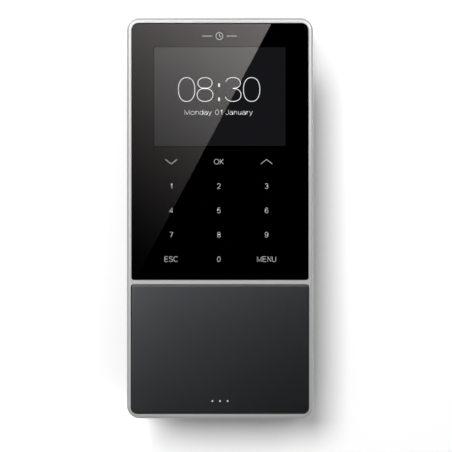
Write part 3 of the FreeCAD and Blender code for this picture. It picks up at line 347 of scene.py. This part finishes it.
# Each CAD node takes the finish of the material slot that its record names.
for part in frame["record"]["subparts"]:
    node = frame["nodes"][part["node"]]
    for place in node.material_slots:
        place.material = SLOT_FINISHES[part["material_slot"]]


# ---------------------------------------------------------------- thin pieces behind the glass

# Printed and lit figures are films this thick, whose fronts are this far in front of the print or the display.
INK_GAP = 0.035 * MM
INK_THICK = 0.02 * MM


def flat_piece(name, outlines, layer_front, material):
    """Joins flat outlines, each (points, faces) in X and Z, into one film that rides on the clock.

    It lies just in front of the layer whose front is given.
    """
    depth = layer_front - INK_GAP
    vertices, faces = [], []
    for points, cells in outlines:
        front = len(vertices)
        back = front + len(points)
        vertices += [(x, depth, z) for x, z in points]
        vertices += [(x, depth + INK_THICK, z) for x, z in points]
        sides = {}
        for cell in cells:
            faces.append([front + i for i in cell])
            faces.append([back + i for i in reversed(cell)])
            for a, b in zip(cell, cell[1:] + cell[:1]):
                sides[(a, b)] = True
        faces += [[front + b, front + a, back + a, back + b] for a, b in sides if (b, a) not in sides]
    mesh = bpy.data.meshes.new(name)
    mesh.from_pydata(vertices, [], faces)
    mesh.validate()
    mesh.materials.append(material)
    piece = bpy.data.objects.new(name, mesh)
    bpy.context.collection.objects.link(piece)
    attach(piece, "clock")


def stroke(points, width, closed=False):
    """The outline of a line of even width through points."""
    count = len(points)
    left, right = [], []
    for i, point in enumerate(points):
        if closed:
            before, after = points[i - 1], points[(i + 1) % count]
        else:
            before, after = points[max(i - 1, 0)], points[min(i + 1, count - 1)]
        along = (after - before).normalized()
        inner, outer = point - before, after - point
        miter = 1.0
        if inner.length and outer.length:
            miter = 1 / max(0.5, math.sqrt((1 + inner.normalized().dot(outer.normalized())) / 2))
        aside = Vector((-along.y, along.x)) * (width / 2 * miter)
        left.append(point + aside)
        right.append(point - aside)
    runs = count if closed else count - 1
    cells = []
    for i in range(runs):
        j = (i + 1) % count
        cells.append([i, count + i, count + j, j])
    return [(p.x, p.y) for p in left + right], cells


def arc(centre, radii, start, stop, steps, power=2.0):
    """Points along part of an ellipse, in steps, squared off a little where power is over 2.

    Angles are in degrees.
    """
    points = []
    for i in range(steps + 1):
        a = math.radians(start + (stop - start) * i / steps)
        c, s = math.cos(a), math.sin(a)
        x = math.copysign(abs(c) ** (2 / power), c) * radii[0]
        z = math.copysign(abs(s) ** (2 / power), s) * radii[1]
        points.append(Vector((centre[0] + x, centre[1] + z)))
    return points


def corners(x, z, width, height):
    """The corners of a rectangle about a centre."""
    w, h = width / 2, height / 2
    return [(x - w, z - h), (x + w, z - h), (x + w, z + h), (x - w, z + h)]


def bar(centre, width, height):
    """The outline of a level rectangle."""
    return corners(*centre, width, height), [[0, 1, 2, 3]]


def lines(*numbers):
    """Corners of a broken line, from x and z in turn."""
    return [Vector(pair) for pair in zip(numbers[::2], numbers[1::2])]


# How far a letter's bowls are squared off: 2 would be an ellipse.
LETTER_POWER = 2.1


def loop(x, z, width, height):
    """A closed oval, as one stroke of a letter."""
    return arc((x, z), (width, height), 0, 360, 40, LETTER_POWER)[:-1], True


def bow(x, z, width, height, start, stop):
    """Part of an oval, as part of a stroke of a letter."""
    return arc((x, z), (width, height), start, stop, 24, LETTER_POWER)


# Letters and figures one unit tall, each a list of strokes: (points, whether it closes).
STROKES = {
    "0": [loop(0.32, 0.5, 0.29, 0.5)],
    "1": [(lines(0.1, 0.76, 0.24, 0.82, 0.36, 1, 0.36, 0), False)],
    "2": [(bow(0.31, 0.7, 0.28, 0.3, 172, -36) + lines(0.02, 0, 0.62, 0), False)],
    "3": [(bow(0.3, 0.74, 0.25, 0.26, 165, -88), False), (bow(0.3, 0.26, 0.29, 0.27, 88, -165), False)],
    "4": [(lines(0.66, 0.25, 0.02, 0.25, 0.48, 1, 0.48, 0), False)],
    "5": [(lines(0.58, 1, 0.14, 1, 0.07, 0.5) + bow(0.31, 0.33, 0.29, 0.33, 135, -160), False)],
    "6": [loop(0.32, 0.32, 0.28, 0.32), (bow(0.34, 0.48, 0.31, 0.52, 40, 195), False)],
    "7": [(lines(0.03, 1, 0.62, 1, 0.24, 0), False)],
    "8": [loop(0.32, 0.755, 0.245, 0.245), loop(0.32, 0.265, 0.29, 0.265)],
    "9": [loop(0.32, 0.68, 0.28, 0.32), (bow(0.3, 0.52, 0.31, 0.52, 15, -140), False)],
    "C": [(bow(0.5, 0.5, 0.45, 0.5, 40, 320), False)],
    "E": [(lines(0.7, 1, 0.08, 1, 0.08, 0, 0.72, 0), False), (lines(0.08, 0.52, 0.66, 0.52), False)],
    "J": [(lines(0.5, 1, 0.5, 0.27) + bow(0.27, 0.27, 0.23, 0.27, 0, -175), False)],
    "K": [
        (lines(0.08, 1, 0.08, 0), False),
        (lines(0.74, 1, 0.08, 0.36), False),
        (lines(0.3, 0.58, 0.78, 0), False),
    ],
    "M": [(lines(0.08, 0, 0.08, 1, 0.5, 0.02, 0.92, 1, 0.92, 0), False)],
    "N": [(lines(0.08, 0, 0.08, 1, 0.76, 0, 0.76, 1), False)],
    "O": [loop(0.53, 0.5, 0.48, 0.5)],
    "S": [(bow(0.42, 0.76, 0.31, 0.24, 22, 270) + bow(0.4, 0.26, 0.35, 0.26, 85, -162), False)],
    "U": [(lines(0.08, 1, 0.08, 0.36) + bow(0.42, 0.35, 0.34, 0.35, 180, 360) + lines(0.76, 1), False)],
    "a": [(bow(0.32, 0.5, 0.24, 0.23, 160, 0) + lines(0.56, 0), False), loop(0.3, 0.21, 0.26, 0.21)],
    "d": [loop(0.32, 0.36, 0.28, 0.37), (lines(0.6, 1, 0.6, 0), False)],
    "n": [(lines(0.08, 0.73, 0.08, 0), False), (bow(0.32, 0.45, 0.24, 0.28, 180, 0) + lines(0.56, 0), False)],
    "o": [loop(0.36, 0.36, 0.31, 0.37)],
    "r": [(lines(0.08, 0.73, 0.08, 0), False), (bow(0.33, 0.4, 0.25, 0.32, 180, 90), False)],
    "u": [
        (lines(0.08, 0.73, 0.08, 0.28) + bow(0.32, 0.28, 0.24, 0.28, 180, 360), False),
        (lines(0.56, 0.73, 0.56, 0), False),
    ],
    "y": [(lines(0.03, 0.73, 0.31, 0.03), False), (lines(0.57, 0.73, 0.24, -0.16, 0.06, -0.27), False)],
    " ": [],
}

# The gap between letters, and the width of a space, in the same unit.
LETTER_GAP = 0.19
SPACE = 0.3


def lettering(text, centre, height, line_width, width=None):
    """One line of thin letters about a centre, with capitals of a given height.

    The line is fitted to a width if one is given.
    """
    strokes = []
    pen = 0.0
    for letter in text:
        points = [p for path, _ in STROKES[letter] for p in path]
        strokes += [([Vector((p.x + pen, p.y)) for p in path], closed) for path, closed in STROKES[letter]]
        pen += max((p.x for p in points), default=SPACE) + LETTER_GAP
    across = [p.x for path, _ in strokes for p in path]
    left, right = min(across), max(across)
    tall = height - line_width
    wide = (width - line_width) / (right - left) if width else tall
    x0, z0 = centre
    middle = (left + right) / 2

    def put(p):
        return Vector((x0 + (p.x - middle) * wide, z0 + (p.y - 0.5) * tall))

    return [stroke([put(p) for p in path], line_width, closed) for path, closed in strokes]


def key_place(column, row):
    """The middle of a key, counted from the upper left."""
    return KEY_LEFT_X + KEY_PITCH_X * column, KEY_TOP_Z - KEY_PITCH_Z * row


def chevron(centre, width, height, line_width, up):
    """The outline of an arrow head that points up or down."""
    x, z = centre
    rise = height / 2 if up else -height / 2
    tips = [Vector((x - width / 2, z - rise)), Vector((x, z + rise)), Vector((x + width / 2, z - rise))]
    return stroke(tips, line_width)


def key_legends():
    """The arrows, words and figures on the keypad."""
    figure, capital = 2.8 * MM, 2.7 * MM
    thin = 0.22 * MM
    arrow_width, arrow_height, arrow_line = 5.9 * MM, 2.3 * MM, 0.25 * MM
    ok_width, esc_width, menu_width = 4.9 * MM, 6.7 * MM, 9.6 * MM
    left, middle, right = range(COLUMNS)
    last_row = ROWS - 1
    outlines = [
        chevron(key_place(left, 0), arrow_width, arrow_height, arrow_line, False),
        chevron(key_place(right, 0), arrow_width, arrow_height, arrow_line, True),
    ]
    outlines += lettering("OK", key_place(middle, 0), capital, thin, ok_width)
    outlines += lettering("ESC", key_place(left, last_row), figure, thin, esc_width)
    outlines += lettering("0", key_place(middle, last_row), figure, thin)
    outlines += lettering("MENU", key_place(right, last_row), figure, thin, menu_width)
    for number in range(9):
        row, column = divmod(number, COLUMNS)
        outlines += lettering(str(number + 1), key_place(column, row + 1), figure, thin)
    material = lit_ink("legend_ink", "efefef", 0.64)
    flat_piece("key_legends", outlines, MASK_FRONT, material)


def display_time():
    """Half past eight in thin figures."""
    line_width = 0.37 * MM
    middle = LCD_MIDDLE.z + 3.6 * MM
    radius = 12.1 * MM / 2
    zero_radii, zero_power = (4.15 * MM, radius), 2.25
    zeros, eight, three = (-16.95 * MM, 16.05 * MM), -7.6 * MM, 6.62 * MM
    outlines = []
    for x in zeros:
        oval = arc((x, middle), zero_radii, 0, 360, 64, zero_power)[:-1]
        outlines.append(stroke(oval, line_width, closed=True))

    # The 8 and the 3 have a small upper bowl and a larger lower one, which meet.
    bowl_power = 2.15
    upper = 2.75 * MM
    lower = radius - upper
    upper_middle = middle + radius - upper
    lower_middle = middle - radius + lower
    for z, radii in ((upper_middle, (3.62 * MM, upper)), (lower_middle, (4.02 * MM, lower))):
        oval = arc((eight, z), radii, 0, 360, 56, bowl_power)[:-1]
        outlines.append(stroke(oval, line_width, closed=True))
    upper_bowl = arc((three, upper_middle), (3.7 * MM, upper), 168, -84, 40, bowl_power)
    lower_bowl = arc((three, lower_middle), (4.05 * MM, lower), 92, -166, 40, bowl_power)
    outlines.append(stroke(upper_bowl, line_width))
    outlines.append(stroke(lower_bowl, line_width))

    colon, dot_width, dot_height = -0.5 * MM, 0.95 * MM, 1.75 * MM
    for rise in (2.2 * MM, -4.95 * MM):
        outlines.append(bar((colon, middle + rise), dot_width, dot_height))
    material = lit_ink("display_figures", "f4f4f4", 0.98)
    flat_piece("display_time", outlines, LCD_FRONT, material)


def display_date():
    """A line with a day and a date, under the time."""
    centre = (-0.7 * MM, LCD_MIDDLE.z - 7.95 * MM)
    capital, thin, width = 2.6 * MM, 0.21 * MM, 34.6 * MM
    outlines = lettering("Monday 01 January", centre, capital, thin, width)
    material = lit_ink("display_text", "f0f0f0", 0.84)
    flat_piece("display_date", outlines, LCD_FRONT, material)


def clock_symbol():
    """A plain clock face between two short rules, above the display. Its print glows with painted light,
    though no lamp is behind it.
    """
    x, z = -0.3 * MM, GLASS_MIDDLE.z + GLASS_SIZE.z / 2 - 6.5 * MM
    radius = 1.75 * MM
    thin = 0.26 * MM
    rule_length, rule_place = 5.2 * MM, 6.2 * MM
    long_hand = Vector((x, z + radius * 0.62))
    short_hand = Vector((x + radius * 0.5, z - radius * 0.3))
    outlines = [
        stroke(arc((x, z), (radius, radius), 0, 360, 40)[:-1], thin, closed=True),
        stroke([long_hand, Vector((x, z)), short_hand], thin),
    ]
    for side in (-1, 1):
        outlines.append(bar((x + side * rule_place, z), rule_length, thin))
    # The symbol's white print glows with no lamp behind it. This is painted light, standing in for the light
    # that would fall on the print through the glass.
    material = lit_ink("symbol_print_painted_glow", "dbd9d8", 0.9)
    flat_piece("clock_symbol", outlines, MASK_FRONT, material)


def ring(centre, size, width):
    """A rectangular ring of even width round an opening."""
    inner = corners(*centre, size.x, size.z)
    outer = corners(*centre, size.x + 2 * width, size.z + 2 * width)
    cells = [[4 + i, 4 + (i + 1) % 4, (i + 1) % 4, i] for i in range(4)]
    return inner + outer, cells


def display_gasket():
    """Matt black edge round the display's window."""
    finish = Finish("gasket", (0.0004, 0.0004, 0.0004), 0.6, specular_ior_level=0.0)
    finish.mottle(finish.noise(0.3 * MM), (0.0008, 0.0008, 0.0008))
    outline = ring((0, LCD_MIDDLE.z), WINDOW, 0.75 * MM)
    flat_piece("display_gasket", [outline], MASK_FRONT, finish.material)


key_legends()
display_time()
display_date()
clock_symbol()
display_gasket()


# ---------------------------------------------------------------- camera

# The view is a little taller than the clock, whose middle is to the upper left of the view's middle.
VIEW_DISTANCE = 1.5
VIEW_WIDTH = FACE_SIZE.z * 1.1286
VIEW_SHIFT = Vector((FACE_SIZE.x * 0.0322, 0, -FACE_SIZE.z * 0.0196))
SENSOR = 36.0

camera_data = bpy.data.cameras.new("camera")
camera = bpy.data.objects.new("camera", camera_data)
bpy.context.collection.objects.link(camera)
camera_data.sensor_width = SENSOR
camera_data.lens = SENSOR * VIEW_DISTANCE / VIEW_WIDTH
camera_data.dof.use_dof = False
camera.location = Vector((0, FACE_FRONT - VIEW_DISTANCE, 0)) + VIEW_SHIFT
camera.rotation_euler = (math.radians(90), 0, 0)
bpy.context.scene.camera = camera


# ---------------------------------------------------------------- wall and lights

WALL_SIDE = 3.0
WALL_GAP = 0.6 * MM

AMBIENT = 0.44
# The part of the ambient light that reflections find at the sides and below, and how high up it is full.
SIDE_SHARE = 0.52
FULL_HEIGHT = 0.6
# The surroundings that reflections find fade to black between these angles from straight ahead of the clock.
FADE_START = math.radians(88)
FADE_END = math.radians(50)
BACKDROP = (0.86, 0.87, 0.88, 1)
WHITE = (1, 1, 1, 1)

# The card's distance from the glass, and its colour.
CARD_DISTANCE = 0.5
CARD_COLOUR = (1.0, 0.93, 0.91, 1)
# The card's light is its peak times a power of a level, which rises along a slope across the glass.
CARD_PEAK = 11.6
CARD_POWER = 2.4
CARD_SLOPE = (1.6875, 0, 2.383)
CARD_LEVEL = 0.1777
# The card reaches this far from the glass's middle at its top, bottom and left, in shares of the glass's size.
# Its slanted edge meets the top of the glass at a share of the width right of the middle, and then runs this
# far sideways for each unit of height.
CARD_PAST_END, CARD_PAST_LEFT = 0.58, 0.68
CARD_EDGE_TOP = 0.2915
CARD_EDGE_SLANT = 0.5307


def link_nodes(tree, *pairs):
    """Links sockets in a tree, from each source to its target."""
    for source, target in pairs:
        tree.links.new(source, target)


def add_math(tree, operation, amount=None, clamp=False):
    """A math node, with its second number set if one is given."""
    node = tree.nodes.new("ShaderNodeMath")
    node.operation = operation
    node.use_clamp = clamp
    if amount is not None:
        node.inputs[1].default_value = amount
    return node


def add_dot(tree, direction):
    """A node that measures a vector along a direction."""
    node = tree.nodes.new("ShaderNodeVectorMath")
    node.operation = "DOT_PRODUCT"
    node.inputs[1].default_value = direction
    return node


def add_range(tree, start, stop, low, high):
    """A node that maps one range of values onto another."""
    node = tree.nodes.new("ShaderNodeMapRange")
    for name, value in (("From Min", start), ("From Max", stop), ("To Min", low), ("To Max", high)):
        node.inputs[name].default_value = value
    return node


def add_background(tree, colour, strength=1.0):
    """A node that gives an even light."""
    node = tree.nodes.new("ShaderNodeBackground")
    node.inputs["Color"].default_value = colour
    node.inputs["Strength"].default_value = strength
    return node


def upright_plane(name, outline, material):
    """A flat piece of the stage in the plane of X and Z, from its corners."""
    mesh = bpy.data.meshes.new(name)
    mesh.from_pydata([(x, 0, z) for x, z in outline], [], [[0, 1, 2, 3]])
    mesh.materials.append(material)
    plane = bpy.data.objects.new(name, mesh)
    bpy.context.collection.objects.link(plane)
    return plane


def wall():
    """White wall that takes the clock's shadow. It is clear from behind, so that the back can be seen."""
    f = Finish("wall_paint", (0.93, 0.93, 0.93), 0.9, specular_ior_level=0.0)
    f.relief(f.noise(3 * MM), 0.01 * MM, 0.3)
    output = next(n for n in f.tree.nodes if n.type == "OUTPUT_MATERIAL")
    clear = f.add("ShaderNodeBsdfTransparent")
    side = f.add("ShaderNodeNewGeometry")
    mix = f.add("ShaderNodeMixShader")
    f.link(side.outputs["Backfacing"], mix.inputs["Fac"])
    f.link(f.shader.outputs["BSDF"], mix.inputs[1])
    f.link(clear.outputs["BSDF"], mix.inputs[2])
    f.link(mix.outputs["Shader"], output.inputs["Surface"])
    plane = upright_plane("wall", corners(0, 0, WALL_SIDE, WALL_SIDE), f.material)
    plane.location = (0, WALL_GAP, 0)
    plane.visible_shadow = False
    plane.visible_diffuse = False
    plane.visible_glossy = False
    plane.visible_transmission = False


def card_light():
    """The card's own light, strongest at its upper right."""
    material = bpy.data.materials.new("card_light")
    material.use_nodes = True
    tree = material.node_tree
    tree.nodes.clear()
    place = tree.nodes.new("ShaderNodeTexCoord")
    slope = add_dot(tree, CARD_SLOPE)
    level = add_math(tree, "ADD", CARD_LEVEL, clamp=True)
    power = add_math(tree, "POWER", CARD_POWER)
    glow = add_math(tree, "MULTIPLY", CARD_PEAK)
    emission = tree.nodes.new("ShaderNodeEmission")
    emission.inputs["Color"].default_value = CARD_COLOUR
    output = tree.nodes.new("ShaderNodeOutputMaterial")
    link_nodes(
        tree,
        (place.outputs["Object"], slope.inputs[0]),
        (slope.outputs["Value"], level.inputs[0]),
        (level.outputs[0], power.inputs[0]),
        (power.outputs[0], glow.inputs[0]),
        (glow.outputs[0], emission.inputs["Strength"]),
        (emission.outputs[0], output.inputs["Surface"]),
    )
    return material


def reflection_card():
    """A lit card in front of the glass, cut along a slant. It shows in the upper left of the glass.

    Its own X and Z are those of the point on the glass that reflects it towards the camera.
    """
    spread = CARD_DISTANCE / (VIEW_DISTANCE + (FACE_FRONT - GLASS_FRONT))
    glass_top = GLASS_MIDDLE.z + GLASS_SIZE.z / 2
    top = GLASS_MIDDLE.z + GLASS_SIZE.z * CARD_PAST_END
    bottom = GLASS_MIDDLE.z - GLASS_SIZE.z * CARD_PAST_END
    left = -GLASS_SIZE.x * CARD_PAST_LEFT

    def edge(z):
        return GLASS_SIZE.x * CARD_EDGE_TOP + (z - glass_top) * CARD_EDGE_SLANT

    outline = [(left, top), (edge(top), top), (edge(bottom), bottom), (left, bottom)]
    card = upright_plane("reflection_card", outline, card_light())
    card.scale = (1 + spread, 1, 1 + spread)
    card.location = (-camera.location.x * spread, GLASS_FRONT - CARD_DISTANCE, -camera.location.z * spread)
    card.visible_camera = False
    card.visible_diffuse = False
    card.visible_shadow = False


def studio_world():
    """Even light for everything matt, and a pale backdrop for the camera.

    Reflections find it dimmer at the sides and below, and black in front, so that the glass stays black.
    """
    world = bpy.data.worlds.new("studio")
    bpy.context.scene.world = world
    world.use_nodes = True
    tree = world.node_tree
    tree.nodes.clear()
    place = tree.nodes.new("ShaderNodeTexCoord")
    path = tree.nodes.new("ShaderNodeLightPath")
    front = add_dot(tree, (0, -1, 0))
    above = add_dot(tree, (0, 0, 1))
    fade = add_range(tree, math.cos(FADE_START), math.cos(FADE_END), AMBIENT, 0.0)
    share = add_range(tree, 0.0, FULL_HEIGHT, SIDE_SHARE, 1.0)
    strength = add_math(tree, "MULTIPLY")
    reflected = add_background(tree, WHITE)
    ambient = add_background(tree, WHITE, AMBIENT)
    backdrop = add_background(tree, BACKDROP)
    light = tree.nodes.new("ShaderNodeMixShader")
    mix = tree.nodes.new("ShaderNodeMixShader")
    output = tree.nodes.new("ShaderNodeOutputWorld")
    link_nodes(
        tree,
        (place.outputs["Generated"], front.inputs[0]),
        (place.outputs["Generated"], above.inputs[0]),
        (front.outputs["Value"], fade.inputs["Value"]),
        (above.outputs["Value"], share.inputs["Value"]),
        (fade.outputs["Result"], strength.inputs[0]),
        (share.outputs["Result"], strength.inputs[1]),
        (strength.outputs[0], reflected.inputs["Strength"]),
        (path.outputs["Is Diffuse Ray"], light.inputs["Fac"]),
        (reflected.outputs[0], light.inputs[1]),
        (ambient.outputs[0], light.inputs[2]),
        (path.outputs["Is Camera Ray"], mix.inputs["Fac"]),
        (light.outputs[0], mix.inputs[1]),
        (backdrop.outputs[0], mix.inputs[2]),
        (mix.outputs[0], output.inputs["Surface"]),
    )


def glass_group():
    """The pieces that the softboxes leave out, so that the glass mirrors nothing but the card."""
    group = bpy.data.collections.new("glass_front")
    for name in ("cover_glass", "glass_mask", "display_panel"):
        group.objects.link(frame["nodes"][name])
    for item in group.collection_objects:
        item.light_linking.link_state = "EXCLUDE"
    return group


def area_light(name, location, target, size, radiance, spread=180):
    """A rectangular light of a given radiance, aimed at a point. A smaller spread is like a grid on it."""
    data = bpy.data.lights.new(name, "AREA")
    data.shape = "RECTANGLE"
    data.size, data.size_y = size
    data.energy = radiance * math.pi * size[0] * size[1]
    data.spread = math.radians(spread)
    light = bpy.data.objects.new(name, data)
    light.location = location
    aim = Vector(target) - Vector(location)
    light.rotation_euler = aim.to_track_quat("-Z", "Y").to_euler()
    light.visible_camera = False
    bpy.context.collection.objects.link(light)
    return light


def matt_light(*settings):
    """A light that only brightens matt surfaces, and shows in no reflection."""
    light = area_light(*settings)
    light.visible_glossy = False
    light.visible_transmission = False


def softbox(*settings, **grid):
    """A light that only shows as a gleam on the frame and the panel."""
    light = area_light(*settings, **grid)
    light.visible_diffuse = False
    light.light_linking.receiver_collection = glass_front


wall()
studio_world()
reflection_card()
glass_front = glass_group()

# The key light throws the shadow to the lower right. The two washes lighten the shadow at the upper right and
# lower left corners.
KEY_SIDE = 0.5
KEY_CENTRE = Vector((-KEY_SIDE / 2, -1.0, KEY_SIDE / 2))
KEY_TARGET = (KEY_CENTRE.x, 0, KEY_CENTRE.z)
LEFT_CORNER, RIGHT_CORNER = (-0.047, -0.036, 0.09), (0.047, -0.036, 0.08)
matt_light("key", KEY_CENTRE, KEY_TARGET, (KEY_SIDE, KEY_SIDE), 12.1)
softbox("left_softbox", (-0.17, -0.3, 0.03), (-0.17, 0, 0.03), (0.2, 0.18), 0.84)
softbox("top_softbox", (0.0, -0.25, 0.21), (0.0, 0, 0.21), (0.3, 0.12), 1.1)
softbox("left_high", (-0.16, -0.3, 0.2), LEFT_CORNER, (0.16, 0.14), 0.5, spread=48)
softbox("right_high", (0.16, -0.3, 0.17), RIGHT_CORNER, (0.16, 0.14), 0.33, spread=40)
matt_light("fill_right", (0.16, -0.25, 0.08), (0.05, -0.036, 0.05), (0.1, 0.1), 2.4)
matt_light("wash_right", (0.0495, -0.012, 0.095), (0.0495, 0, 0.095), (0.004, 0.045), 3.2)
matt_light("wash_left", (-0.041, -0.012, -0.105), (-0.041, 0, -0.105), (0.016, 0.004), 5.5)
area_light("back_left", (-0.3, 0.9, 0.4), (0, 0, 0), (0.6, 0.6), 5.0)
area_light("back_right", (0.35, 0.8, 0.1), (0, 0, 0), (0.5, 0.7), 3.0)

scene = bpy.context.scene
scene.view_settings.view_transform = "Standard"
scene.view_settings.look = "None"
